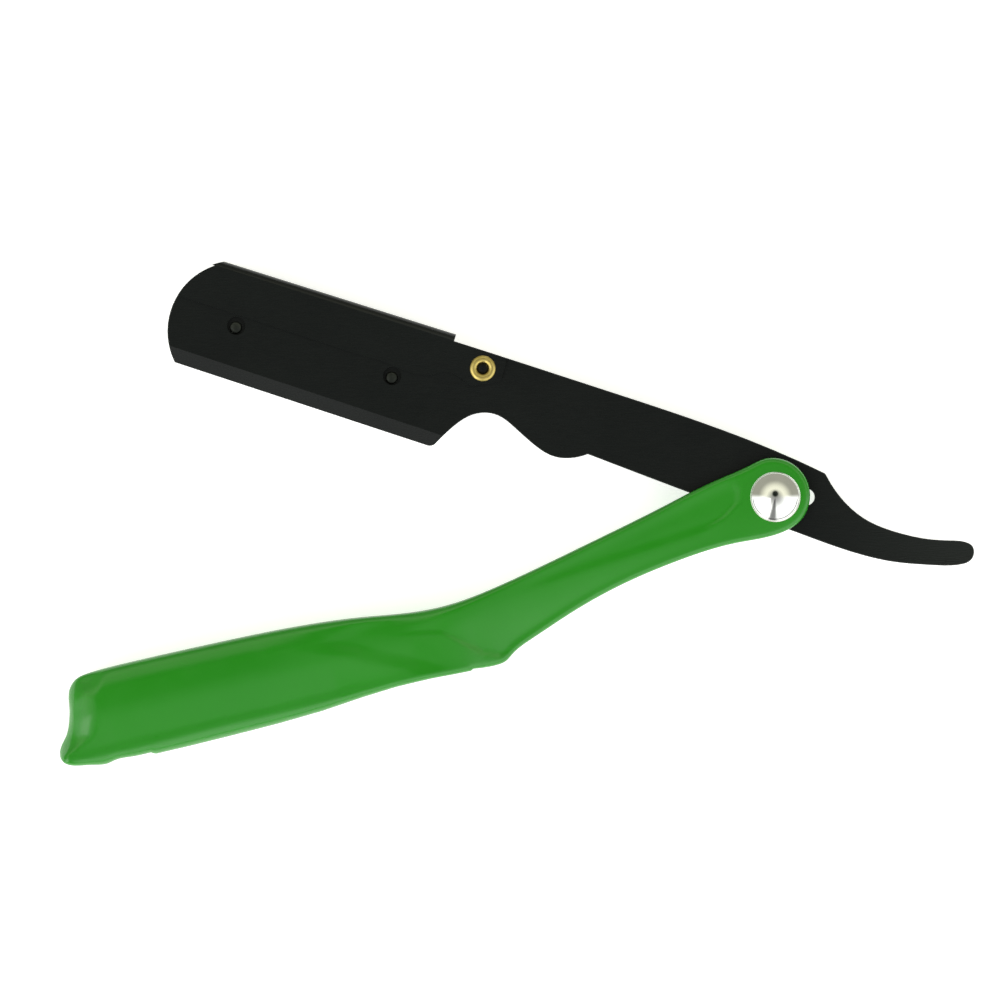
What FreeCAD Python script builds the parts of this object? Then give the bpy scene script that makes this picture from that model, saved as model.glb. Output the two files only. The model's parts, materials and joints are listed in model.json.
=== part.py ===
# Barber's straight razor of the swing-lock kind, lying open on its side.
#
# Millimetres. +Z is up, away from the surface it lies on. +X runs from the far ends of the handle
# and the blade head towards the tail, and +Y runs from the handle towards the blade head.
# The origin is at the middle of the bounding box, at its lowest level.
#
# The arm and the handle are each drawn in a frame of their own: the hinge pin is at the origin, the
# far end lies along -X, and the middle plane of the steel is z = 0. The spine is at +Y on the arm,
# and the edge that faces the arm is at +Y on the handle. Each is then turned into its open position.

import FreeCAD
import Part
import math
import os

# ---- Where the hinge is, and how far the razor is open ----
hinge_x = 45.69
hinge_y = 2.93
middle_height = 6.00
arm_turn = -17.45
handle_turn = 17.90

# ---- Thicknesses of the flat stack, counted from the middle plane ----
sheet = 1.00
cover_sheet = 0.50
cover_gap = 0.03
blade_gap = 0.40
scale_inner = 2.20
ear_outer = 3.65
body_outer = 6.00
edge_break = 0.15

# ---- Blade head ----
spine_top = 10.55
arm_back = 9.28
cover_end = -62.50
toe_x = -99.71
toe_y = -0.60
toe_radius = 12.27
edge_toe = (-108.54, -9.12)
edge_heel = (-60.60, -9.77)
locating_holes = [(-100.10, 0.30), (-71.10, 0.10)]
locating_hole_radius = 1.62
locating_nub_radius = 1.10
locating_nub_height = 0.34
locating_nub_shift = -0.35
bevel_width = 2.50
bevel_drop = 0.62
fold_tip = 0.30

# ---- Swing cover hinge ----
eyelet_x = -56.20
eyelet_y = 6.20
eyelet_barrel = 1.40
eyelet_bore = 1.05
eyelet_flange = 2.30
eyelet_flange_height = 0.34
lobe_radius = 3.55
tab_low = (-57.20, 2.60)
tab_side = (-52.50, 4.85)
doubler_clear = 8.20

# ---- Tang ----
hanging_hole = (5.25, 1.65)
hanging_hole_radius = 1.50
tang_corner = (7.25, 6.62)
cusp = (-33.90, -2.70)
doubler_high = (-48.60, 9.14)
doubler_low = (-50.00, -1.13)

# ---- Main hinge ----
post_radius = 1.50
post_bore = 0.90
arm_hole_radius = 1.55
washer_radius = 4.40
washer_gap = 0.03
washer_height = 0.40
boss_radius = 5.00
dome_radius = 4.42
dome_height = 1.90

# ---- Handle ----
ear_x = -0.40
ear_y = 0.40
ear_radius = 6.65
rim_radius = 1.20
scoop_radius = 9.00
scoop_depth = 1.00
dish_radius = 18.00
dish_depth = 0.75
pocket_depth = 1.50
ledge = [(-60.6, -12.76), (-63.5, -12.42), (-68.0, -11.85), (-74.0, -11.38), (-80.0, -11.30), (-88.0, -11.42),
         (-96.0, -11.15), (-104.0, -10.65), (-112.0, -10.10), (-118.3, -9.58)]
ledge_width = 2.50
ledge_height = 1.60
insert_inset = 0.15
insert_deep = 3.00
peg_radius = 1.00
peg_depth = 1.20
peg_places = [(-112.0, -8.30), (-90.0, -9.60), (-66.0, -10.30)]


def point(x, y, z=0.0):
    return FreeCAD.Vector(x, y, z)


def line(a, b):
    return Part.makeLine(point(*a), point(*b))


def arc(a, middle, b):
    return Part.Arc(point(*a), point(*middle), point(*b)).toShape()


def curve(places, closed=False):
    """A smooth curve through a few places, as a chain of short edges."""
    spline = Part.BSplineCurve()
    spline.interpolate([point(*p) for p in places], PeriodicFlag=closed)
    pieces = max(2, len(places) // 3)
    start = spline.FirstParameter
    step = (spline.LastParameter - start) / pieces
    return [spline.toShape(start + i * step, start + (i + 1) * step) for i in range(pieces)]


def plate(edges, low, high):
    """A flat piece with this outline, from one level to another."""
    face = Part.Face(Part.Wire(edges))
    face.translate(point(0, 0, low))
    return face.extrude(point(0, 0, high - low))


def disc(x, y, radius, low, high):
    return Part.makeCylinder(radius, high - low, point(x, y, low))


def block(x_low, x_high, y_low, y_high, low, high):
    corner = point(x_low, y_low, low)
    return Part.makeBox(x_high - x_low, y_high - y_low, high - low, corner)


def ring(x, y, inner, outer, low, high):
    return disc(x, y, outer, low, high).cut(disc(x, y, inner, low, high))


def flat_edges(solid, level):
    """The edges that lie wholly at one level."""
    found = []
    for edge in solid.Edges:
        box = edge.BoundBox
        if abs(box.ZMin - level) < 0.001 and abs(box.ZMax - level) < 0.001:
            found.append(edge)
    return found


def break_edges(solid, level, size):
    return solid.makeChamfer(size, flat_edges(solid, level))


def toe_point(y):
    """Where the round toe of the head is at this height."""
    return (toe_x - math.sqrt(toe_radius**2 - (y - toe_y)**2), y)


def place_arm(solid):
    solid.rotate(point(0, 0), point(0, 0, 1), arm_turn)
    solid.translate(point(hinge_x, hinge_y, middle_height))
    return solid


def place_handle(solid):
    solid.rotate(point(0, 0), point(0, 0, 1), handle_turn)
    solid.translate(point(hinge_x, hinge_y, middle_height))
    return solid


# ---------------------------------------------------------------- the arm

def back_edge(start):
    """The back of the arm, from the head or the middle of the arm to the corner of the tang."""
    places = [(x, arm_back) for x in (-85.0, -60.0) if x > start[0] + 5.0]
    places += [(-34.0, 9.04), (-16.0, 8.70), (-2.4, 7.83), tang_corner]
    return curve([start] + places)


def tail_edge():
    """The tail, and the underside as far as the finger bump."""
    places = [tang_corner, (9.95, 4.22), (12.7, 2.48), (17.0, 0.92), (22.2, 0.52), (28.0, 1.02)]
    places += [(32.0, 2.00), (34.4, 2.52), (35.9, 2.20), (36.58, 1.05), (36.3, -0.45), (35.0, -1.50)]
    places += [(30.0, -3.20), (23.8, -4.60), (16.0, -5.20), (6.0, -4.85), (-16.6, -3.72), cusp]
    return curve(places)


def finger_edge(finish):
    """The bump and the finger notch under the tang, down to the heel of the head."""
    places = [cusp, (-36.4, -4.20), (-39.6, -4.90), (-43.0, -4.15), (-47.0, -2.40), (-51.6, -0.90)]
    places += [(-55.0, -1.85), (-57.2, -3.90), finish]
    return curve(places)


def round_corner(solid, x, y, radius):
    """Round the upright corner nearest to this place."""
    upright = [e for e in solid.Edges if e.BoundBox.ZLength > 0.4]
    nearest = min(upright, key=lambda e: e.distToShape(Part.Vertex(x, y, 0))[0])
    return solid.makeFillet(radius, [nearest])


def front_sheet():
    """The main sheet: plate of the head, tang and tail in one."""
    toe_low = toe_point(edge_toe[1])
    toe_high = toe_point(arm_back)
    edges = back_edge(toe_high) + tail_edge()
    edges += finger_edge(edge_heel)
    edges.append(line(edge_heel, toe_low))
    edges.append(arc(toe_low, (toe_x - toe_radius, toe_y), toe_high))
    solid = plate(edges, 0.0, sheet)
    solid = round_corner(solid, tang_corner[0], tang_corner[1], 0.9)
    solid = round_corner(solid, edge_heel[0], edge_heel[1], 1.4)
    solid = break_edges(solid, sheet, edge_break)
    solid = solid.cut(edge_bevel())
    for x, y in locating_holes:
        solid = solid.cut(disc(x, y, locating_hole_radius, -1.0, 2.0))
    solid = solid.cut(disc(eyelet_x, eyelet_y, eyelet_barrel, -1.0, 2.0))
    solid = solid.cut(disc(hanging_hole[0], hanging_hole[1], hanging_hole_radius, -1.0, 2.0))
    return solid.cut(disc(0, 0, arm_hole_radius, -1.0, 2.0))


def edge_bevel():
    """What is taken off the plate along its lower edge, leaving a narrow sloping band."""
    slope = (edge_heel[1] - edge_toe[1]) / (edge_heel[0] - edge_toe[0])
    low = edge_toe[1] - slope * edge_toe[0]
    corners = [point(0, low + bevel_width, sheet), point(0, low - 1.0, sheet)]
    corners.append(point(0, low - 1.0, sheet - bevel_drop * (1.0 + 1.0 / bevel_width)))
    corners.append(corners[0])
    wedge = Part.Face(Part.makePolygon(corners))
    wedge = wedge.extrude(point(1, slope, 0) * 60.0)
    wedge.translate(point(1, slope, 0) * -115.0)
    return wedge


def back_sheet():
    """The second thickness of the tang, clear of the cover as it swings."""
    edges = back_edge(doubler_high) + tail_edge()
    edges += curve([cusp, (-36.4, -4.20), (-39.6, -4.90), (-43.0, -4.15), (-47.0, -2.40), doubler_low])
    edges.append(arc(doubler_low, (eyelet_x + doubler_clear, eyelet_y), doubler_high))
    solid = plate(edges, -sheet, 0.0)
    solid = round_corner(solid, tang_corner[0], tang_corner[1], 0.9)
    solid = break_edges(solid, -sheet, edge_break)
    solid = solid.cut(disc(hanging_hole[0], hanging_hole[1], hanging_hole_radius, -3.0, 3.0))
    return solid.cut(disc(0, 0, arm_hole_radius, -3.0, 3.0))


def eyelet():
    """A hollow brass rivet: open at the front flange, closed at the back head."""
    top = sheet + cover_gap + cover_sheet + cover_gap
    bottom = -blade_gap - cover_sheet - cover_gap
    barrel = disc(eyelet_x, eyelet_y, eyelet_barrel, bottom, top)
    upper = disc(eyelet_x, eyelet_y, eyelet_flange, top, top + eyelet_flange_height)
    upper = upper.makeFillet(0.25, flat_edges(upper, top + eyelet_flange_height))
    lower = disc(eyelet_x, eyelet_y, eyelet_flange, bottom - eyelet_flange_height, bottom)
    lower = lower.makeFillet(0.25, flat_edges(lower, bottom - eyelet_flange_height))
    solid = barrel.fuse([upper, lower]).removeSplitter()
    return solid.cut(disc(eyelet_x, eyelet_y, eyelet_bore, bottom, 4.0))


def eyelet_spacer():
    """A thin ring on the eyelet that keeps the slot for the blade open."""
    return ring(eyelet_x, eyelet_y, eyelet_barrel, eyelet_flange, cover_gap - blade_gap, 0.0)


# ---------------------------------------------------------------- the swing cover

cover_high = sheet + cover_gap + cover_sheet
cover_low = -blade_gap - cover_sheet
fold_radius = (cover_high - cover_low) / 2
leaf_top = spine_top - fold_radius


def cover_front():
    """The band over the top of the plate, with a wave and a tab that reaches past the eyelet."""
    low = sheet + cover_gap
    high = low + cover_sheet
    toe_low = toe_point(2.38)
    toe_high = toe_point(leaf_top)
    tab_top = (tab_side[0], eyelet_y + 2.95)
    shoulder = (cover_end, tab_top[1])
    edges = [line(toe_low, (-76.0, 1.93))]
    edges += curve([(-76.0, 1.93), (-70.5, 1.80), (-66.4, 1.78), (-64.4, 2.42), (-62.9, 3.40), (-61.3, 3.76),
                    (-59.3, 3.36), tab_low])
    edges += [line(tab_low, tab_side), line(tab_side, tab_top), line(tab_top, shoulder)]
    edges += [line(shoulder, (cover_end, leaf_top)), line((cover_end, leaf_top), toe_high)]
    edges.append(arc(toe_high, toe_point(6.0), toe_low))
    solid = plate(edges, low, high)
    solid = round_corner(solid, tab_low[0], tab_low[1], 0.4)
    solid = round_corner(solid, tab_side[0], tab_side[1], 1.0)
    return round_corner(solid, tab_top[0], tab_top[1], 1.0)


def cover_back():
    """The leaf behind the blade, a little inside the outline of the plate."""
    high = -blade_gap
    low = high - cover_sheet
    inset = 0.35
    toe_low = (toe_point(-8.3)[0] + inset, -8.3)
    toe_high = toe_point(leaf_top)
    lobe_low = (eyelet_x - 0.5, eyelet_y - math.sqrt(lobe_radius**2 - 0.25))
    lobe_top = (eyelet_x + math.sqrt(lobe_radius**2 - 2.95**2), eyelet_y + 2.95)
    edges = [line(toe_low, (-62.4, -8.9))]
    edges.append(line((-62.4, -8.9), (-61.2, -8.0)))
    edges += curve([(-61.2, -8.0), (-60.6, -3.0), (-59.2, 1.0), lobe_low])
    edges.append(arc(lobe_low, (eyelet_x + lobe_radius, eyelet_y), lobe_top))
    edges.append(line(lobe_top, (cover_end, eyelet_y + 2.95)))
    edges.append(line((cover_end, eyelet_y + 2.95), (cover_end, leaf_top)))
    edges.append(line((cover_end, leaf_top), toe_high))
    edges.append(arc(toe_high, (toe_x - toe_radius + 0.1, 0.0), toe_low))
    return plate(edges, low, high)


def cover_fold():
    """The rounded fold along the spine that joins the two leaves."""
    centre = (cover_high + cover_low) / 2
    start = point(toe_x - toe_radius, leaf_top, centre)
    length = cover_end - start.x
    rod = Part.makeCylinder(fold_radius, length, start, point(1, 0, 0))
    hollow = Part.makeCylinder(fold_radius - cover_sheet, length, start, point(1, 0, 0))
    fold = rod.cut(hollow).cut(block(start.x - 1, cover_end + 1, leaf_top - 5, leaf_top, -5, 5))
    round_toe = disc(toe_x, toe_y, toe_radius + fold_tip, -5, 5)
    square_end = block(toe_x, cover_end + 1, leaf_top - 1, spine_top + 1, -5, 5)
    return fold.common(round_toe.fuse(square_end))


def cover_channel():
    solid = cover_front().fuse([cover_back(), cover_fold()]).removeSplitter()
    return solid.cut(disc(eyelet_x, eyelet_y, eyelet_barrel + 0.05, -4.0, 4.0))


def locating_nub(place):
    """A low round stud on the inside of the back leaf. It finds the cut-out in a blade."""
    x = place[0]
    y = place[1] + locating_nub_shift
    low = -blade_gap
    stud = disc(x, y, locating_nub_radius, low, low + locating_nub_height)
    return stud.makeChamfer(0.10, flat_edges(stud, low + locating_nub_height))


# ---------------------------------------------------------------- the handle

def scale_outline(side):
    """One smooth closed outline: round the ear, along the top, round the far end and back below."""
    places = []
    for angle in range(-84, 109, 24):
        turn = math.radians(angle)
        places.append((ear_x + ear_radius * math.cos(turn), ear_y + ear_radius * math.sin(turn)))
    places += [(-8.5, 6.10), (-20.0, 4.40), (-34.0, 2.34), (-46.0, 0.70), (-54.0, -0.17), (-60.5, -0.40)]
    places += [(-67.0, 0.25), (-76.0, 2.20), (-90.0, 4.54), (-105.0, 6.15), (-118.0, 7.32), (-125.0, 7.72)]
    places += [(-127.7, 7.36), (-129.35, 5.90), (-130.4, 2.60), (-131.15, 0.55), (-132.3, -1.55)]
    places += [(-133.8, -3.20), (-134.5, -4.60), (-134.2, -6.00), (-132.8, -7.05), (-130.0, -7.85)]
    places += [(-127.0, -8.45), (-122.5, -8.70), (-118.5, -9.12)]
    places += [(-106.0, -10.08), (-92.0, -10.93), (-78.0, -10.90), (-69.0, -11.30), (-61.5, -12.25)]
    places += [(-57.3, -13.05), (-55.1, -13.05), (-53.0, -12.15), (-48.5, -10.60)]
    places += [(-40.0, -8.26), (-30.0, -6.34), (-20.0, -5.46), (-9.0, -5.64)]
    return curve([(x, y * side) for x, y in places], closed=True)


def side_shape():
    """How thick a scale is along its length: thin at the ear, full in the hand."""
    ear_start = point(-8.0, 40.0, ear_outer)
    hand_start = point(-84.0, 40.0, body_outer)
    swell = Part.BSplineCurve()
    swell.interpolate([ear_start, hand_start], InitialTangent=point(-1, 0, 0), FinalTangent=point(-1, 0, 0))
    edges = [Part.makeLine(point(10.0, 40.0, scale_inner), point(10.0, 40.0, ear_outer))]
    edges.append(Part.makeLine(point(10.0, 40.0, ear_outer), ear_start))
    edges.append(swell.toShape())
    edges.append(Part.makeLine(hand_start, point(-140.0, 40.0, body_outer)))
    edges.append(Part.makeLine(point(-140.0, 40.0, body_outer), point(-140.0, 40.0, scale_inner)))
    edges.append(Part.makeLine(point(-140.0, 40.0, scale_inner), point(10.0, 40.0, scale_inner)))
    face = Part.Face(Part.Wire(edges))
    return face.extrude(point(0, -80.0, 0))


def rounded_rim(solid):
    """Round the outer rim of a scale all the way along."""
    rim = []
    for edge in solid.Edges:
        box = edge.BoundBox
        across = abs(box.XMin - box.XMax) < 0.01
        if box.ZMin > ear_outer - 0.05 and not across:
            rim.append(edge)
    return solid.makeFillet(rim_radius, rim)


def spindle(start, finish, radius, depth):
    """A long round body that dips below a surface between two places, deepest half way."""
    along = finish - start
    up = point(0, 0, 1) - along * (along.z / along.Length**2)
    up.normalize()
    axis_start = start + up * (radius - depth)
    axis_finish = finish + up * (radius - depth)
    lowest = (start + finish) * 0.5 - up * depth
    edges = [Part.makeLine(axis_start, start), Part.Arc(start, lowest, finish).toShape()]
    edges += [Part.makeLine(finish, axis_finish), Part.makeLine(axis_finish, axis_start)]
    return Part.Face(Part.Wire(edges)).revolve(axis_start, along, 360)


def scoop(side):
    """A shallow groove along the neck. It runs out before the ear."""
    start = point(-58.0, -6.6 * side, 5.28)
    finish = point(-11.0, 0.6 * side, ear_outer)
    return spindle(start, finish, scoop_radius, scoop_depth)


def dish(side):
    """A long shallow hollow in the side of the grip, along its middle."""
    start = point(-131.5, 0.6 * side, body_outer)
    finish = point(-64.0, -5.6 * side, 5.62)
    return spindle(start, finish, dish_radius, dish_depth)


def pocket(side):
    """The moulded hollow in the inner face of the grip."""
    corners = [(-125.0, -4.5), (-125.0, 5.2), (-105.0, 3.8), (-80.0, 0.4), (-66.0, -2.6), (-64.0, -8.2)]
    corners += [(-80.0, -7.2), (-105.0, -6.4)]
    outline = [point(x, y * side) for x, y in corners]
    face = Part.Face(Part.makePolygon(outline + [outline[0]]))
    return face.extrude(point(0, 0, scale_inner + pocket_depth))


def lip(side):
    """The ledge along the lower edge of the grip, as long as the insert that it covers."""
    low = [(x, y * side) for x, y in ledge]
    high = [(x, (y + ledge_width) * side) for x, y in reversed(ledge)]
    edges = curve(low) + [line(low[-1], high[0])] + curve(high) + [line(high[-1], low[0])]
    return plate(edges, scale_inner, scale_inner + ledge_height)


def turned_over(solid):
    """The same piece turned over about the long axis."""
    return solid.rotated(point(0, 0), point(1, 0, 0), 180)


def scale(side):
    """One half of the handle: side is 1 for the front half and -1 for the back half."""
    solid = plate(scale_outline(side), scale_inner, body_outer + 1.0)
    solid = rounded_rim(solid.common(side_shape()))
    solid = solid.cut(scoop(side))
    solid = solid.cut(dish(side))
    solid = solid.fuse(lip(side))
    solid = solid.cut(pocket(side))
    washer_top = sheet + washer_gap + washer_height
    solid = solid.fuse(disc(0, 0, boss_radius, washer_top, scale_inner + 0.5))
    solid = solid.cut(disc(0, 0, post_radius, 0.0, 10.0))
    for x, y in peg_places:
        solid = solid.cut(disc(x, y * side, peg_radius, 0.0, scale_inner + peg_depth))
    if side < 0:
        solid = turned_over(solid)
    return solid


# ---------------------------------------------------------------- what joins the two scales

def spine_insert():
    """The strip that holds the scales apart along the back of the grip, with its pegs."""
    low = [(x, y + insert_inset) for x, y in ledge]
    high = [(x, y + insert_deep) for x, y in reversed(low)]
    edges = curve(low) + [line(low[-1], high[0])] + curve(high) + [line(high[-1], low[0])]
    solid = plate(edges, -scale_inner, scale_inner)
    for x, y in peg_places:
        reach = scale_inner + peg_depth - 0.1
        solid = solid.fuse(disc(x, y, peg_radius, -reach, reach))
    return solid.removeSplitter()


def washer():
    low = sheet + washer_gap
    return ring(0, 0, arm_hole_radius, washer_radius, low, low + washer_height)


def dome():
    """The rounded head of the hinge rivet, sitting on the ear."""
    ball_radius = (dome_radius**2 + dome_height**2) / (2 * dome_height)
    ball = Part.makeSphere(ball_radius, point(0, 0, ear_outer + dome_height - ball_radius))
    return ball.common(disc(0, 0, dome_radius, ear_outer, ear_outer + dome_height + 1.0))


def rivet_tube():
    """The front head of the hinge with its hollow shank."""
    shank = disc(0, 0, post_radius, 0.4 - ear_outer, ear_outer)
    head = dome()
    bore = disc(0, 0, post_bore, -10.0, ear_outer - 0.4)
    return head.fuse(shank).removeSplitter().cut(bore)


def rivet_pin():
    """The back head of the hinge with the pin that is pressed into the shank."""
    head = turned_over(dome())
    pin = disc(0, 0, post_bore, -ear_outer, ear_outer - 0.8)
    return head.fuse(pin).removeSplitter()


os.makedirs("parts", exist_ok=True)

pieces = {}
pieces["arm_front_sheet"] = place_arm(front_sheet())
pieces["arm_back_sheet"] = place_arm(back_sheet())
pieces["eyelet"] = place_arm(eyelet())
pieces["eyelet_spacer"] = place_arm(eyelet_spacer())
pieces["cover_channel"] = place_arm(cover_channel())
pieces["nub_toe"] = place_arm(locating_nub(locating_holes[0]))
pieces["nub_heel"] = place_arm(locating_nub(locating_holes[1]))
pieces["scale_front"] = place_handle(scale(1))
pieces["scale_back"] = place_handle(scale(-1))
pieces["spine_insert"] = place_handle(spine_insert())
pieces["washer_front"] = place_handle(washer())
pieces["washer_back"] = place_handle(turned_over(washer()))
pieces["rivet_tube"] = place_handle(rivet_tube())
pieces["rivet_pin"] = place_handle(rivet_pin())

for name in pieces:
    pieces[name].exportStep("parts/" + name + ".step")
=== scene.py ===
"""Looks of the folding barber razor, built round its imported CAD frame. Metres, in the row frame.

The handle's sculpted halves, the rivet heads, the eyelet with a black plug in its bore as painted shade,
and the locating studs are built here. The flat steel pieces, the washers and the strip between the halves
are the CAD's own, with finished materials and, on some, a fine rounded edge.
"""

import json
import math

import bmesh
import bpy
import numpy as np
from mathutils import Matrix, Vector
from mathutils.geometry import delaunay_2d_cdt


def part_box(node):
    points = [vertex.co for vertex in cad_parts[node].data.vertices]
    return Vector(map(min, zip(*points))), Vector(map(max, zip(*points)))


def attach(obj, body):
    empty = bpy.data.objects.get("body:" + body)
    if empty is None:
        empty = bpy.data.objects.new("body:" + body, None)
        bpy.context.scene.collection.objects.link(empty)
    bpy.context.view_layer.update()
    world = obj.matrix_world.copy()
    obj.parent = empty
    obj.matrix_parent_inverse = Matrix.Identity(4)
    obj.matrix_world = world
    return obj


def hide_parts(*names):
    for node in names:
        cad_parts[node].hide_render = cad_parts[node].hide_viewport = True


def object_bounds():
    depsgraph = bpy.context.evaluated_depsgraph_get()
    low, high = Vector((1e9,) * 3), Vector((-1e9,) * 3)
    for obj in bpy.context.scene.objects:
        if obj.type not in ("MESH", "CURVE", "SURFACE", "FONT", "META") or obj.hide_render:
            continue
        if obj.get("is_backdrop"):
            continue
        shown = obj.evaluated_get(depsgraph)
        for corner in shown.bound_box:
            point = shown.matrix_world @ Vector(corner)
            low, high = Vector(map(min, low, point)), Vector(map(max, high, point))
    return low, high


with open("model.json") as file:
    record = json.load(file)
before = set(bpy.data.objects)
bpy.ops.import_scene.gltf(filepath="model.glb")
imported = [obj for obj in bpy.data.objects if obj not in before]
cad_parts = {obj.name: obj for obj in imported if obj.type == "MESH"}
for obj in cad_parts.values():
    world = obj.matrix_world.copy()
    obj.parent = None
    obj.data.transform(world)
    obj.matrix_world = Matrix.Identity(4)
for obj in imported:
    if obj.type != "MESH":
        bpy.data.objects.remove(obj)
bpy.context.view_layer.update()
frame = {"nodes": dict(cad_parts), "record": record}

MM = 0.001
joints = {joint["name"]: joint for joint in frame["record"]["behaviour"]["joints"]}
hinge = Vector(joints["main_hinge"]["pos_m"])
eyelet_at = Vector(joints["cover_swing"]["pos_m"])

# ---- The handle's own frame: hinge at the origin, far end towards -X, millimetres ----
HANDLE_TURN = math.radians(17.9)
HANDLE_FRAME = Matrix.Translation(hinge) @ Matrix.Rotation(HANDLE_TURN, 4, "Z") @ Matrix.Scale(MM, 4)
ARM_TURN = math.radians(17.45)

# ---- Heights above the middle plane, and the handle's round places ----
INNER_FACE = 2.2
EAR_OUTER = 3.65
GRIP_OUTER = 6.0
SWELL_START = -8.0
SWELL_LENGTH = 76.0
THINNEST_WALL = 0.45
POCKET_DEPTH = 1.5
EAR_CENTRE = (-0.40, 0.40)
EAR_RADIUS = 6.65
BOSS_RADIUS = 5.0
BOSS_INNER = 1.43
DOME_RADIUS = 4.42
DOME_HEIGHT = 1.9

# ---- How closely a scale's faces follow its outline: spacing along the edge, rows inside it, and grid ----
EDGE_SPACING = 0.45
OUTER_ROWS = (0.12, 0.3, 0.55, 0.85, 1.25, 1.75, 2.4, 3.1)
OUTER_PITCH = 0.45
INNER_ROWS = (1.0, 2.2, 2.8, 3.4)
INNER_PITCH = 1.4


# ---------------------------------------------------------------- small helpers

def smooth(low, high, value):
    """0 below low, 1 above high, and a soft step between."""
    t = np.clip((np.asarray(value, dtype=float) - low) / (high - low), 0.0, 1.0)
    return t * t * (3.0 - 2.0 * t)


def new_object(name, verts, faces, material, place=None, smooth_angle=40.0):
    """A mesh object in the scene, smooth shaded except across edges sharper than smooth_angle."""
    mesh = bpy.data.meshes.new(name)
    mesh.from_pydata([tuple(v) for v in verts], [], faces)
    mesh.update()
    if place is not None:
        mesh.transform(place)
    obj = bpy.data.objects.new(name, mesh)
    bpy.context.scene.collection.objects.link(obj)
    mesh.materials.append(material)
    mesh.shade_smooth()
    mesh.set_sharp_from_angle(angle=math.radians(smooth_angle))
    return obj


def lathe(name, profile, material, place, steps=96):
    """A turned piece: profile is a line of (radius, height) places, in millimetres."""
    verts = []
    faces = []
    count = len(profile)
    for i in range(steps):
        turn = 2 * math.pi * i / steps
        for radius, height in profile:
            verts.append((radius * math.cos(turn), radius * math.sin(turn), height))
    for i in range(steps):
        j = (i + 1) % steps
        for k in range(count - 1):
            faces.append((i * count + k, j * count + k, j * count + k + 1, i * count + k + 1))
    obj = new_object(name, verts, faces, material, place)
    tidy_mesh(obj)
    return obj


def tidy_mesh(obj):
    """Join doubled points, such as those on a turned piece's axis, and face everything outwards."""
    work = bmesh.new()
    work.from_mesh(obj.data)
    bmesh.ops.remove_doubles(work, verts=work.verts, dist=1e-7)
    bmesh.ops.recalc_face_normals(work, faces=work.faces)
    work.to_mesh(obj.data)
    work.free()
    obj.data.update()


# ---------------------------------------------------------------- the outline of a scale

def outline_places():
    """The places that the handle's outline goes through."""
    places = []
    for angle in range(-84, 109, 24):
        turn = math.radians(angle)
        places.append((EAR_CENTRE[0] + EAR_RADIUS * math.cos(turn),
                       EAR_CENTRE[1] + EAR_RADIUS * math.sin(turn)))
    places += [(-8.5, 6.10), (-20.0, 4.40), (-34.0, 2.34), (-46.0, 0.70), (-54.0, -0.17), (-60.5, -0.40)]
    places += [(-67.0, 0.25), (-76.0, 2.20), (-90.0, 4.54), (-105.0, 6.15), (-118.0, 7.32), (-125.0, 7.72)]
    places += [(-127.7, 7.36), (-129.35, 5.90), (-130.4, 2.60), (-131.15, 0.55), (-132.3, -1.55)]
    places += [(-133.8, -3.20), (-134.5, -4.60), (-134.2, -6.00), (-132.8, -7.05), (-130.0, -7.85)]
    places += [(-127.6, -8.52), (-126.6, -8.58), (-125.4, -8.42), (-122.5, -8.72), (-118.5, -9.12)]
    places += [(-106.0, -10.08), (-92.0, -10.93), (-78.0, -10.90), (-69.0, -11.30), (-61.5, -12.25)]
    places += [(-57.6, -13.02), (-55.7, -13.18), (-54.3, -13.02), (-52.9, -12.25), (-48.5, -10.60)]
    places += [(-40.0, -8.26), (-30.0, -6.34), (-20.0, -5.46), (-9.0, -5.64)]
    return np.array(places)


LEDGE = [(-118.3, -9.58), (-112.0, -10.10), (-104.0, -10.65), (-96.0, -11.15), (-88.0, -11.42),
         (-80.0, -11.30), (-74.0, -11.38), (-68.0, -11.85), (-63.5, -12.42), (-60.6, -12.76)]


def with_ledge(outline):
    """Step the lower edge of the grip out to the ledge that covers the spine insert."""
    x, y = outline[:, 0], outline[:, 1]
    ledge = np.interp(x, [place[0] for place in LEDGE], [place[1] for place in LEDGE])
    first, last = LEDGE[0][0], LEDGE[-1][0]
    reach = smooth(first - 0.6, first, x) * smooth(last + 0.5, last - 0.1, x) * (y < -5.0)
    return np.column_stack([x, y + (np.minimum(ledge, y) - y) * reach])


def closed_curve(places, spacing):
    """Evenly spaced points on the smooth closed cubic spline through the places."""
    count = len(places)
    chord = np.linalg.norm(np.roll(places, -1, axis=0) - places, axis=1)
    before = np.roll(chord, 1)
    system = np.zeros((count, count))
    right = np.zeros((count, 2))
    for i in range(count):
        a, b = before[i], chord[i]
        system[i, i - 1] = b
        system[i, i] = 2 * (a + b)
        system[i, (i + 1) % count] = a
        nxt, prev = places[(i + 1) % count], places[i - 1]
        right[i] = 3 * (b * (places[i] - prev) / a + a * (nxt - places[i]) / b)
    slope = np.linalg.solve(system, right)
    points = []
    for i in range(count):
        j = (i + 1) % count
        span = chord[i]
        for t in np.arange(0.0, 1.0, spacing / span / 4):
            h = t * t * (3 - 2 * t)
            points.append((1 - h) * places[i] + h * places[j]
                          + span * (t * (1 - t) ** 2 * slope[i] - t * t * (1 - t) * slope[j]))
    points = np.array(points)
    loop = np.vstack([points, points[:1]])
    travel = np.concatenate([[0], np.cumsum(np.linalg.norm(np.diff(loop, axis=0), axis=1))])
    wanted = np.linspace(0, travel[-1], int(travel[-1] / spacing), endpoint=False)
    return np.column_stack([np.interp(wanted, travel, loop[:, 0]), np.interp(wanted, travel, loop[:, 1])])


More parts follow.
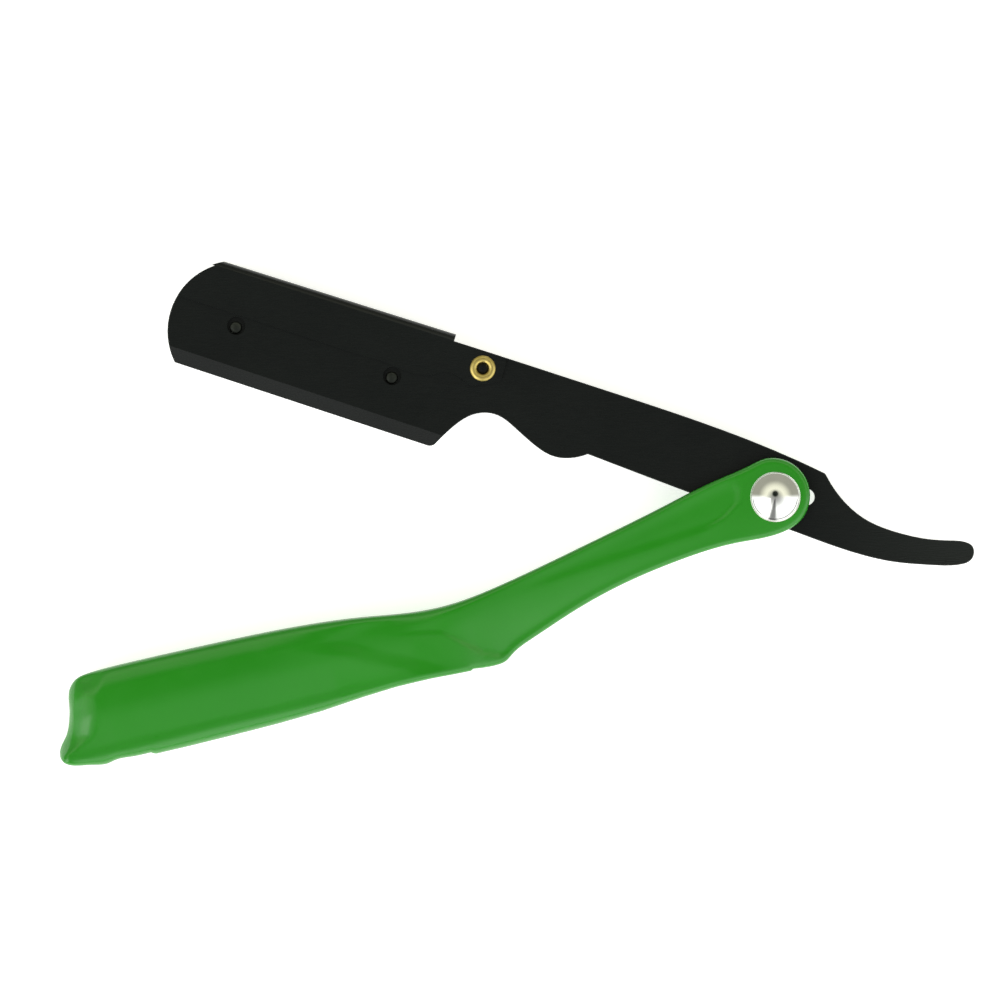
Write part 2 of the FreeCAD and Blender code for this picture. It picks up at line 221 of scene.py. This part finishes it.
def edge_distance(points, outline):
    """How far each point is from the outline."""
    start = outline
    step = np.roll(outline, -1, axis=0) - outline
    length = (step**2).sum(axis=1)
    nearest = np.full(len(points), 1e9)
    for a, d, n in zip(start, step, length):
        t = np.clip(((points - a) @ d) / n, 0.0, 1.0)
        gap = points - a - t[:, None] * d
        nearest = np.minimum(nearest, (gap**2).sum(axis=1))
    return np.sqrt(nearest)


def inside(points, outline):
    """Which points lie inside the closed outline."""
    x, y = points[:, 0], points[:, 1]
    result = np.zeros(len(points), dtype=bool)
    for (x0, y0), (x1, y1) in zip(outline, np.roll(outline, -1, axis=0)):
        crosses = (y0 > y) != (y1 > y)
        if y1 != y0:
            result ^= crosses & (x < (x1 - x0) * (y - y0) / (y1 - y0) + x0)
    return result


def edge_lines(outline):
    """The upper and lower edge of the handle as functions of x."""
    far = np.argmin(outline[:, 0])
    near = np.argmax(outline[:, 0])
    order = np.roll(np.arange(len(outline)), -near)
    split = list(order).index(far)
    top = outline[order[:split + 1]]
    low = outline[order[split:]]
    top = top[np.argsort(top[:, 0])]
    low = low[np.argsort(low[:, 0])]
    return (lambda x: np.interp(x, top[:, 0], top[:, 1])), (lambda x: np.interp(x, low[:, 0], low[:, 1]))


# ---------------------------------------------------------------- the sculpted face of a scale

def ramp(value, softness):
    """0 below nothing and rising one for one above it, with a soft start."""
    return 0.5 * (value + np.sqrt(value**2 + softness**2))


def along(x, *pairs):
    """A value that changes evenly between places along the handle."""
    return np.interp(x, [pair[0] for pair in pairs], [pair[1] for pair in pairs])


def face_height(x, y, gap, top_edge, low_edge):
    """How far the outer face stands from the middle plane. gap is the distance to the outline.

    From the top edge down, the face slopes at the shoulder, lies level as far as the crest, falls
    gently from there to the crease, rises a touch and then turns away into the lower flank.
    """
    t = np.clip((SWELL_START - x) / SWELL_LENGTH, 0.0, 1.0)
    level = EAR_OUTER + (GRIP_OUTER - EAR_OUTER) * t * t * (3 - 2 * t)
    shoulder = top_edge(x) - along(x, (-134, 2.4), (-126, 3.1), (-84, 3.0), (-66, 2.2), (-58, 1.2))
    crest = along(x, (-134, 0.8), (-123, 0.0), (-115, -0.6), (-103, -1.4), (-90, -2.4), (-78, -3.6),
                  (-68, -4.6), (-60, -4.0), (-54, -2.4), (-46, -1.6), (-30, -1.5), (-12, -1.4))
    crease = along(x, (-134, -5.1), (-120.5, -6.2), (-105, -7.3), (-92, -8.5), (-81, -9.25), (-73, -9.8),
                   (-66, -10.6), (-57, -12.4), (-53, -11.6))
    crease = np.where(x > -53.5, low_edge(x) + 0.9, np.maximum(crease, low_edge(x) + 0.9))
    # Slopes (fall, rise, lean) and bends (swoop, turn), which change along the handle.
    fall = along(x, (-134, 0.10), (-124, 0.16), (-100, 0.18), (-84, 0.19), (-74, 0.14), (-66, 0.08),
                 (-58, 0.12), (-50, 0.08), (-42, 0.02), (-30, 0.0))
    swoop = along(x, (-62, 0.0), (-56, 0.005), (-48, 0.013), (-38, 0.022), (-28, 0.030), (-16, 0.028),
                  (-7, 0.012))
    turn = along(x, (-134, 0.16), (-80, 0.24), (-68, 0.20), (-58, 0.15), (-50, 0.10))
    rise = along(x, (-134, 0.10), (-75, 0.12), (-64, 0.05), (-50, 0.0))
    lean = along(x, (-134, 0.0), (-124, 0.05), (-96, 0.05), (-86, 0.0))
    below = ramp(crest - y, 0.9)
    under = ramp(crease - y, 0.2)
    flank = ramp(crease - 0.35 - y, 0.25)
    face = level - 0.19 * ramp(y - shoulder, 0.5) * smooth(-56.0, -66.0, x)
    face -= lean * ramp(y - crest, 1.0)
    face -= fall * below + swoop * below**2
    face += (fall + rise) * under - turn * flank**2
    face -= palm_step(x, y) + lower_scoop(x, y, crest, low_edge) + upper_hollow(x, y, gap)
    return np.maximum(face - rounding(x, y, gap), INNER_FACE + THINNEST_WALL)


def palm_step(x, y):
    """Where the swell of the palm ends, on a slant across the grip."""
    # How far a place is beyond the line through (-79.2, -3.3) that falls at 29 degrees towards the ear.
    across = 0.489 * (x + 79.2) + 0.873 * (y + 3.3)
    deep = along(x, (-90, 0.14), (-84, 0.24), (-78, 0.47), (-70, 0.52))
    return deep * smooth(-1.9, 1.7, across) * smooth(2.6, -0.6, y) * smooth(-60.0, -70.0, x)


def lower_scoop(x, y, crest, low_edge):
    """The finger scoop in the lower half of the neck, with a step along its left and lower sides."""
    step = along(x, (-76, -1.2), (-70, -3.0), (-63.5, -5.0), (-61.7, -6.8), (-57.4, -10.9), (-55.0, -12.1),
                 (-53.4, -12.0))
    step = np.where(x > -53.4, low_edge(x) + 0.65, step)
    deep = along(x, (-77, 0.0), (-70, 0.05), (-64, 0.13), (-58, 0.33), (-45, 0.26), (-30, 0.17),
                 (-14, 0.11), (-6, 0.0))
    inside_step = smooth(-0.3, 1.0, y - step)
    fade = 1.0 - smooth(0.8, np.maximum(crest + 2.5 - step, 1.6), y - step)
    return deep * inside_step * fade


def upper_hollow(x, y, gap):
    """The sunken panel in the upper half of the neck. It ends in a round step beside the ear."""
    ear_step = np.interp(y, [-2.0, -0.6, 1.1, 3.0, 4.8], [-15.0, -9.6, -6.6, -5.8, -6.4])
    near_ear = smooth(0.6, -1.1, x - ear_step)
    low_step = smooth(-2.6, -0.4, y)
    return 0.17 * near_ear * low_step * smooth(-56.0, -40.0, x) * smooth(0.5, 2.4, gap)


def rounding(x, y, gap):
    """What the rounded rim takes off, wider at the far end than along the sides."""
    end = smooth(-121.5, -126.5, x) * smooth(8.5, 5.5, y) * smooth(-6.0, -2.5, y)
    width = 1.10 + 4.4 * end - 0.30 * smooth(-60.0, -50.0, x)
    short = np.clip(width - gap, 0, width)
    return (width - np.sqrt(np.clip(width**2 - short**2, 0, None))) * (1.0 - 0.46 * end)


def pocket_depth(x, y, gap):
    """The moulded hollow in the inner face of the grip."""
    long = smooth(-125.5, -124.5, x) * smooth(-63.5, -64.5, x)
    return POCKET_DEPTH * long * smooth(2.3, 3.3, gap)


def flat_mesh(outline, rings, pitch):
    """Points and triangles that fill the outline, with rows of points that follow its edge."""
    step = np.roll(outline, -1, axis=0) - np.roll(outline, 1, axis=0)
    normal = np.column_stack([-step[:, 1], step[:, 0]])
    normal /= np.linalg.norm(normal, axis=1)[:, None]
    points = [outline]
    for ring in rings:
        row = outline + normal * ring
        keep = (edge_distance(row, outline) > 0.93 * ring) & inside(row, outline)
        points.append(row[keep])
    low, high = outline.min(axis=0), outline.max(axis=0)
    columns = np.arange(low[0], high[0], pitch)
    rows = np.arange(low[1], high[1], pitch * 0.87)
    grid = [(x + (k % 2) * pitch / 2, y) for k, y in enumerate(rows) for x in columns]
    grid = np.array(grid)
    grid = grid[inside(grid, outline)]
    grid = grid[edge_distance(grid, outline) > rings[-1] + pitch * 0.45]
    points.append(grid)
    flat = np.vstack(points)
    count = len(outline)
    edges = [(i, (i + 1) % count) for i in range(count)]
    result = delaunay_2d_cdt([Vector(p) for p in flat], edges, [], 1, 1e-5)
    return np.array([tuple(v) for v in result[0]]), [tuple(f) for f in result[2]]


def scale_shell(name, side, material):
    """One half of the handle: sculpted outside, flat inside with its pocket. side is 1 or -1."""
    outline = with_ledge(closed_curve(outline_places(), EDGE_SPACING))
    top_edge, low_edge = edge_lines(outline)
    count = len(outline)
    outer, outer_faces = flat_mesh(outline, OUTER_ROWS, OUTER_PITCH)
    inner, inner_faces = flat_mesh(outline, INNER_ROWS, INNER_PITCH)
    gap = edge_distance(outer, outline)
    high = face_height(outer[:, 0], outer[:, 1], gap, top_edge, low_edge)
    gap = edge_distance(inner, outline)
    low = INNER_FACE + pocket_depth(inner[:, 0], inner[:, 1], gap)
    verts = [(x, y, z * side) for (x, y), z in zip(outer, high)]
    shift = len(verts)
    verts += [(x, y, z * side) for (x, y), z in zip(inner, low)]
    faces = list(outer_faces)
    faces += [tuple(i + shift for i in reversed(f)) for f in inner_faces]
    for i in range(count):
        j = (i + 1) % count
        faces.append((i, shift + i, shift + j, j))
    verts, faces = add_boss(verts, faces, side)
    shell = new_object(name, verts, faces, material, HANDLE_FRAME, 50.0)
    tidy_mesh(shell)
    return shell


def add_boss(verts, faces, side, steps=64):
    """The low round boss inside the ear that the washer sits on."""
    first = len(verts)
    sunk = 0.4
    chamfer = 0.12
    levels = [(BOSS_RADIUS, INNER_FACE + sunk), (BOSS_RADIUS, BOSS_INNER + chamfer),
              (BOSS_RADIUS - chamfer, BOSS_INNER)]
    for radius, level in levels:
        for i in range(steps):
            turn = 2 * math.pi * i / steps
            verts.append((radius * math.cos(turn), radius * math.sin(turn), level * side))
    for k in range(len(levels) - 1):
        for i in range(steps):
            j = (i + 1) % steps
            faces.append((first + k * steps + i, first + k * steps + j,
                          first + (k + 1) * steps + j, first + (k + 1) * steps + i))
    faces.append(tuple(first + 2 * steps + i for i in range(steps)))
    faces.append(tuple(first + i for i in reversed(range(steps))))
    return verts, faces


# ---------------------------------------------------------------- materials

class Nodes:
    """A few short words for building a material's nodes."""

    def __init__(self, name):
        self.material = bpy.data.materials.new(name)
        self.material.use_nodes = True
        self.tree = self.material.node_tree
        self.shader = self.tree.nodes["Principled BSDF"]
        self.place = self.add("ShaderNodeTexCoord").outputs["Object"]

    def add(self, kind, **settings):
        node = self.tree.nodes.new(kind)
        for key, value in settings.items():
            setattr(node, key, value)
        return node

    def join(self, source, target):
        self.tree.links.new(source, target)

    def noise(self, scale, detail=3.0, roughness=0.5, stretch=None):
        node = self.add("ShaderNodeTexNoise")
        node.inputs["Scale"].default_value = scale
        node.inputs["Detail"].default_value = detail
        node.inputs["Roughness"].default_value = roughness
        source = self.place
        if stretch is not None:
            mapping = self.add("ShaderNodeMapping")
            mapping.inputs["Scale"].default_value = stretch
            mapping.inputs["Rotation"].default_value = (0, 0, ARM_TURN)
            self.join(source, mapping.inputs["Vector"])
            source = mapping.outputs["Vector"]
        self.join(source, node.inputs["Vector"])
        return node.outputs["Fac"]

    def span(self, value, low, high, from_low=0.3, from_high=0.7):
        node = self.add("ShaderNodeMapRange")
        node.inputs["From Min"].default_value = from_low
        node.inputs["From Max"].default_value = from_high
        node.inputs["To Min"].default_value = low
        node.inputs["To Max"].default_value = high
        self.join(value, node.inputs["Value"])
        return node.outputs["Result"]

    def blend(self, value, first, second):
        node = self.add("ShaderNodeMix", data_type="RGBA")
        node.inputs["A"].default_value = (*first, 1.0)
        node.inputs["B"].default_value = (*second, 1.0)
        self.join(value, node.inputs["Factor"])
        return node.outputs["Result"]

    def blend_sockets(self, value, first, second):
        """Mix from a colour socket to a plain colour."""
        node = self.add("ShaderNodeMix", data_type="RGBA")
        self.join(first, node.inputs["A"])
        node.inputs["B"].default_value = (*second, 1.0)
        self.join(value, node.inputs["Factor"])
        return node.outputs["Result"]

    def along_x(self, low, high):
        """0 before one place along the object and 1 after another, in metres."""
        axes = self.add("ShaderNodeSeparateXYZ")
        self.join(self.place, axes.inputs["Vector"])
        return self.span(axes.outputs["X"], 0.0, 1.0, low, high)

    def rough(self, value, low, high):
        self.join(self.span(value, low, high), self.shader.inputs["Roughness"])

    def colour(self, value, first, second, from_low=0.3, from_high=0.7):
        amount = self.span(value, 0.0, 1.0, from_low, from_high)
        self.join(self.blend(amount, first, second), self.shader.inputs["Base Color"])

    def relief(self, value, strength, distance):
        node = self.add("ShaderNodeBump")
        node.inputs["Strength"].default_value = strength
        node.inputs["Distance"].default_value = distance
        self.join(value, node.inputs["Height"])
        self.join(node.outputs["Normal"], self.shader.inputs["Normal"])


def green_plastic():
    """Moulded plastic between satin and gloss, with a faint unevenness in its skin."""
    made = Nodes("green_plastic")
    made.colour(made.noise(60.0, 2.0), (0.0180, 0.226, 0.0100), (0.0208, 0.240, 0.0118))
    made.rough(made.noise(240.0, 4.0), 0.15, 0.21)
    made.relief(made.noise(900.0, 2.0), 0.05, 0.0001)
    return made.material


def black_steel():
    """Satin black coating over fine grinding marks, with a painted highlight that lightens it towards the
    tail.
    """
    made = Nodes("black_steel")
    # Painted highlight: the base colour grows lighter towards the tail, standing in for the brighter
    # reflection there.
    tail_sheen_amount = made.along_x(0.052, 0.078)
    patchy = made.span(made.noise(90.0, 4.0), 0.0, 1.0)
    coating = made.blend(patchy, (0.0026, 0.0038, 0.0037), (0.0040, 0.0054, 0.0051))
    painted_tail_sheen = made.blend_sockets(tail_sheen_amount, coating, (0.0118, 0.0140, 0.0132))
    made.join(painted_tail_sheen, made.shader.inputs["Base Color"])
    made.shader.inputs["Specular IOR Level"].default_value = 0.27
    made.rough(made.noise(500.0, 4.0, 0.6, (1.0, 9.0, 9.0)), 0.25, 0.30)
    made.relief(made.noise(2600.0, 3.0, 0.6, (1.0, 12.0, 12.0)), 0.03, 0.00003)
    return made.material


def brass():
    """Plain brass, dulled by handling."""
    made = Nodes("eyelet_brass")
    made.shader.inputs["Metallic"].default_value = 1.0
    made.colour(made.noise(700.0, 3.0), (0.47, 0.36, 0.10), (0.58, 0.46, 0.16))
    made.rough(made.noise(1500.0, 3.0), 0.30, 0.44)
    made.relief(made.noise(2500.0, 2.0), 0.06, 0.00003)
    return made.material


def chrome():
    """Bright plating with the faintest haze."""
    made = Nodes("polished_chrome")
    made.shader.inputs["Metallic"].default_value = 1.0
    made.colour(made.noise(300.0, 2.0), (0.80, 0.80, 0.78), (0.86, 0.86, 0.84))
    made.rough(made.noise(900.0, 5.0, 0.7), 0.05, 0.10)
    made.relief(made.noise(1200.0, 2.0), 0.02, 0.00002)
    return made.material


def plain_steel(name, low, high):
    """Bare steel, from the darker colour to the lighter one in patches."""
    made = Nodes(name)
    made.shader.inputs["Metallic"].default_value = 1.0
    made.colour(made.noise(400.0, 3.0), low, high)
    made.rough(made.noise(1400.0, 4.0, 0.6), 0.28, 0.42)
    made.relief(made.noise(2200.0, 3.0), 0.06, 0.00003)
    return made.material


def floor_material():
    """Pale paper that glows a little, so that hardly a shadow lies on it."""
    made = Nodes("studio_floor")
    made.colour(made.noise(3.0, 2.0), (0.955, 0.955, 0.955), (0.965, 0.965, 0.965))
    made.rough(made.noise(12.0, 2.0), 0.75, 0.85)
    made.shader.inputs["Emission Color"].default_value = (1.0, 1.0, 1.0, 1.0)
    made.shader.inputs["Emission Strength"].default_value = 0.58
    return made.material


GREEN = green_plastic()
BLACK = black_steel()
BRASS = brass()
CHROME = chrome()
WASHER = plain_steel("washer_steel", (0.50, 0.50, 0.49), (0.62, 0.62, 0.60))
STUD = plain_steel("stud_steel", (0.036, 0.040, 0.036), (0.066, 0.072, 0.064))


# ---------------------------------------------------------------- pieces

def dome_profile(rim, height, seat, shank, end):
    """Half section of a rivet head with its shank, from the top of the dome down."""
    ball = (rim**2 + height**2) / (2 * height)
    slope = math.asin(rim / ball)
    lip = 0.18
    steps = 28
    share_of_dome = 0.965
    profile = []
    for i in range(steps + 1):
        turn = slope * i / steps * share_of_dome
        profile.append((ball * math.sin(turn), seat + height - ball * (1 - math.cos(turn))))
    last = profile[-1]
    profile += [(rim, last[1] - lip), (rim, seat + 0.02), (rim - 0.05, seat)]
    profile += [(shank, seat), (shank, end), (0.0, end)]
    return profile


def rivet_head(name, side, shank, end):
    """A domed rivet head outside an ear, with its shank as far as end. side is 1 or -1."""
    profile = dome_profile(DOME_RADIUS, DOME_HEIGHT, EAR_OUTER, shank, end)
    place = HANDLE_FRAME
    if side < 0:
        place = HANDLE_FRAME @ Matrix.Rotation(math.pi, 4, "X")
    return lathe(name, profile, CHROME, place, 128)


def eyelet_ring():
    """A hollow brass rivet: its front flange curls into the bore, and its back head is closed."""
    top = 1.90
    bottom = -1.27
    curl = 0.40
    bore = 1.05
    barrel = 1.40
    rim = 2.30
    middle = (rim + bore) / 2
    profile = [(0.0, bottom + 0.40), (bore - 0.12, bottom + 0.40), (bore, bottom + 0.52)]
    steps = 16
    for i in range(steps + 1):
        turn = math.pi * (1 - i / steps)
        profile.append((middle + (rim - bore) / 2 * math.cos(turn), top - curl + curl * math.sin(turn)))
    profile += [(rim - 0.06, top - curl - 0.05), (barrel, top - curl - 0.05), (barrel, bottom + 0.34)]
    profile += [(rim - 0.08, bottom + 0.34), (rim, bottom + 0.22)]
    profile += [(rim - 0.10, bottom + 0.05), (rim - 0.3, bottom)]
    profile += [(0.0, bottom)]
    return lathe("eyelet_ring", profile, BRASS, Matrix.Translation(eyelet_at) @ Matrix.Scale(MM, 4), 96)


def painted_shade_plug():
    """A black plug inside the brass rivet, a little below its mouth: painted shade that darkens the bore.
    """
    radius = 1.04
    foot = -0.86
    profile = [(0.0, foot), (radius, foot), (radius, 0.50), (0.90, 0.58), (0.45, 0.62), (0.0, 0.63)]
    place = Matrix.Translation(eyelet_at) @ Matrix.Scale(MM, 4)
    return lathe("eyelet_shade_plug", profile, BLACK, place, 48)


def locating_stud(name, node):
    """A small steel stud with a slightly domed top, seen through a hole in the plate."""
    low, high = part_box(node)
    centre = Vector(((low[0] + high[0]) / 2, (low[1] + high[1]) / 2, low[2]))
    tall = (high[2] - low[2]) / MM
    wide = (high[0] - low[0]) / 2 / MM
    steps = 6
    crown = 0.75
    sag = 0.16
    profile = [(wide * crown * i / steps, tall * (1.0 - sag * (i / steps) ** 2)) for i in range(steps + 1)]
    profile += [(wide * 0.92, tall * 0.68), (wide, tall * 0.42), (wide, 0.0), (0.0, 0.0)]
    return lathe(name, profile, STUD, Matrix.Translation(centre) @ Matrix.Scale(MM, 4), 48)


def dress(node, material, edge=0.0):
    """Give a CAD node its material and, where asked, a fine rounded edge."""
    obj = frame["nodes"][node]
    obj.data.materials.clear()
    obj.data.materials.append(material)
    if edge > 0:
        weld = obj.modifiers.new("join", "WELD")
        weld.merge_threshold = 2e-6
        bevel = obj.modifiers.new("edge", "BEVEL")
        bevel.width = edge * MM
        bevel.segments = 2
        bevel.limit_method = "ANGLE"
        bevel.angle_limit = math.radians(40)
        bevel.harden_normals = True


front = scale_shell("scale_front_shell", 1, GREEN)
back = scale_shell("scale_back_shell", -1, GREEN)
tube = rivet_head("rivet_head_front", 1, shank=1.5, end=-3.2)
pin = rivet_head("rivet_head_back", -1, shank=0.9, end=-2.8)
ring = eyelet_ring()
# The black plug in the eyelet is painted shade for its deep bore, not a real pin.
shade_plug_piece = painted_shade_plug()
toe_stud = locating_stud("toe_stud", "nub_toe")
heel_stud = locating_stud("heel_stud", "nub_heel")
for piece, body, node, slot in (
    (front, "handle", "scale_front", "green_plastic"),
    (back, "handle", "scale_back", "green_plastic"),
    (tube, "handle", "rivet_tube", "chrome"),
    (pin, "handle", "rivet_pin", "chrome"),
    (ring, "arm", "eyelet", "brass"),
    (shade_plug_piece, "arm", "eyelet", "black_steel"),
    (toe_stud, "swing_cover", "nub_toe", "black_steel"),
    (heel_stud, "swing_cover", "nub_heel", "black_steel"),
):
    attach(piece, body)
    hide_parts(node)

dress("spine_insert", GREEN, 0.25)
dress("washer_front", WASHER, 0.04)
dress("washer_back", WASHER, 0.04)
dress("eyelet_spacer", BRASS)
dress("arm_front_sheet", BLACK)
dress("arm_back_sheet", BLACK)
dress("cover_channel", BLACK, 0.12)


# ---------------------------------------------------------------- floor, light and camera

def studio_floor():
    """A plain pale sheet under the razor."""
    size = 3.0
    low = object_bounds()[0][2]
    corners = [(-size, -size, low), (size, -size, low), (size, size, low), (-size, size, low)]
    floor = new_object("studio_floor", corners, [(0, 1, 2, 3)], floor_material())
    floor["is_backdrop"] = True


def studio_sky():
    """A light tent: white on the near side, warm grey on the far side, and dark right overhead."""
    world = bpy.data.worlds.new("light_tent")
    bpy.context.scene.world = world
    world.use_nodes = True
    tree = world.node_tree
    background = tree.nodes["Background"]
    axes = tree.nodes.new("ShaderNodeSeparateXYZ")
    tree.links.new(tree.nodes.new("ShaderNodeTexCoord").outputs["Generated"], axes.inputs["Vector"])

    def ramp(source, low, high):
        node = tree.nodes.new("ShaderNodeMapRange")
        node.interpolation_type = "SMOOTHSTEP"
        node.inputs["From Min"].default_value = low
        node.inputs["From Max"].default_value = high
        tree.links.new(source, node.inputs["Value"])
        return node.outputs["Result"]

    def calc(operation, first, second=None):
        node = tree.nodes.new("ShaderNodeMath")
        node.operation = operation
        for socket, value in zip(node.inputs, (first, second)):
            if value is None:
                continue
            if isinstance(value, float):
                socket.default_value = value
            else:
                tree.links.new(value, socket)
        return node.outputs["Value"]

    def mix(amount, first, second):
        node = tree.nodes.new("ShaderNodeMix")
        node.data_type = "RGBA"
        tree.links.new(amount, node.inputs["Factor"])
        for socket, value in ((node.inputs["A"], first), (node.inputs["B"], second)):
            if isinstance(value, tuple):
                socket.default_value = (*value, 1.0)
            else:
                tree.links.new(value, socket)
        return node.outputs["Result"]

    x, y, z = axes.outputs
    minus_y = calc("MULTIPLY", y, -1.0)
    low_side = ramp(y, -0.02, -0.14)

    # From overhead down, both sides of the tent grow brighter, and the far side dims again lower down.
    height = calc("SUBTRACT", 1.0, z)
    near_rise = calc("MINIMUM", calc("MULTIPLY", height, 4.0), 1.0)
    near_side = mix(near_rise, (0.29, 0.29, 0.28), (1.46, 1.50, 1.46))
    far_rise = calc("MINIMUM", calc("MULTIPLY", height, 8.0), 1.0)
    far_side = mix(far_rise, (0.25, 0.26, 0.23), (0.90, 0.90, 0.72))
    far_side = mix(ramp(z, 0.89, 0.50), far_side, (0.34, 0.34, 0.28))
    colour = mix(ramp(y, 0.16, -0.14), far_side, near_side)

    # A bright panel to the left of the near side.
    left_box = calc("MULTIPLY", ramp(x, -0.22, -0.36), ramp(x, -0.74, -0.56))
    colour = mix(calc("MULTIPLY", left_box, low_side), colour, (2.5, 2.5, 2.4))

    # A dark wedge down the near side, where somebody stands.
    slant = calc("DIVIDE", x, calc("MAXIMUM", minus_y, 0.02))
    slant = calc("ABSOLUTE", calc("ADD", slant, 0.12))
    band = calc("MULTIPLY", ramp(slant, 0.31, 0.07), low_side)
    colour = mix(calc("MULTIPLY", band, 0.88), colour, (0.06, 0.06, 0.06))

    # A black round patch almost overhead, a little to the far side.
    along_y = calc("SUBTRACT", y, 0.19)
    aside = calc("SQRT", calc("ADD", calc("MULTIPLY", x, x), calc("POWER", along_y, 2.0)))
    patch = calc("MULTIPLY", ramp(aside, 0.24, 0.11), ramp(z, 0.0, 0.2))
    colour = mix(patch, colour, (0.012, 0.016, 0.012))

    # The dark edge of a table low on the near side, and a dull horizon all round.
    table_line = calc("MULTIPLY", ramp(calc("ABSOLUTE", calc("SUBTRACT", z, 0.17)), 0.06, 0.015), low_side)
    colour = mix(calc("MULTIPLY", table_line, 0.85), colour, (0.08, 0.08, 0.08))
    colour = mix(ramp(z, 0.12, 0.03), colour, (0.40, 0.40, 0.37))
    tree.links.new(colour, background.inputs["Color"])
    background.inputs["Strength"].default_value = 1.22


def studio_camera():
    """Straight above the razor, with a long lens."""
    distance = 2.5
    width = 0.177
    from_hinge = Vector((-0.04870, -0.00053, 0.001))
    centre = hinge + from_hinge
    data = bpy.data.cameras.new("studio_camera")
    data.sensor_width = 36.0
    data.lens = data.sensor_width * distance / width
    data.clip_start = 0.01
    data.clip_end = 20.0
    camera = bpy.data.objects.new("studio_camera", data)
    camera.location = centre + Vector((0, 0, distance))
    bpy.context.scene.collection.objects.link(camera)
    bpy.context.scene.camera = camera


studio_floor()
studio_sky()
studio_camera()
bpy.context.scene.view_settings.view_transform = "Standard"
bpy.context.scene.view_settings.look = "None"
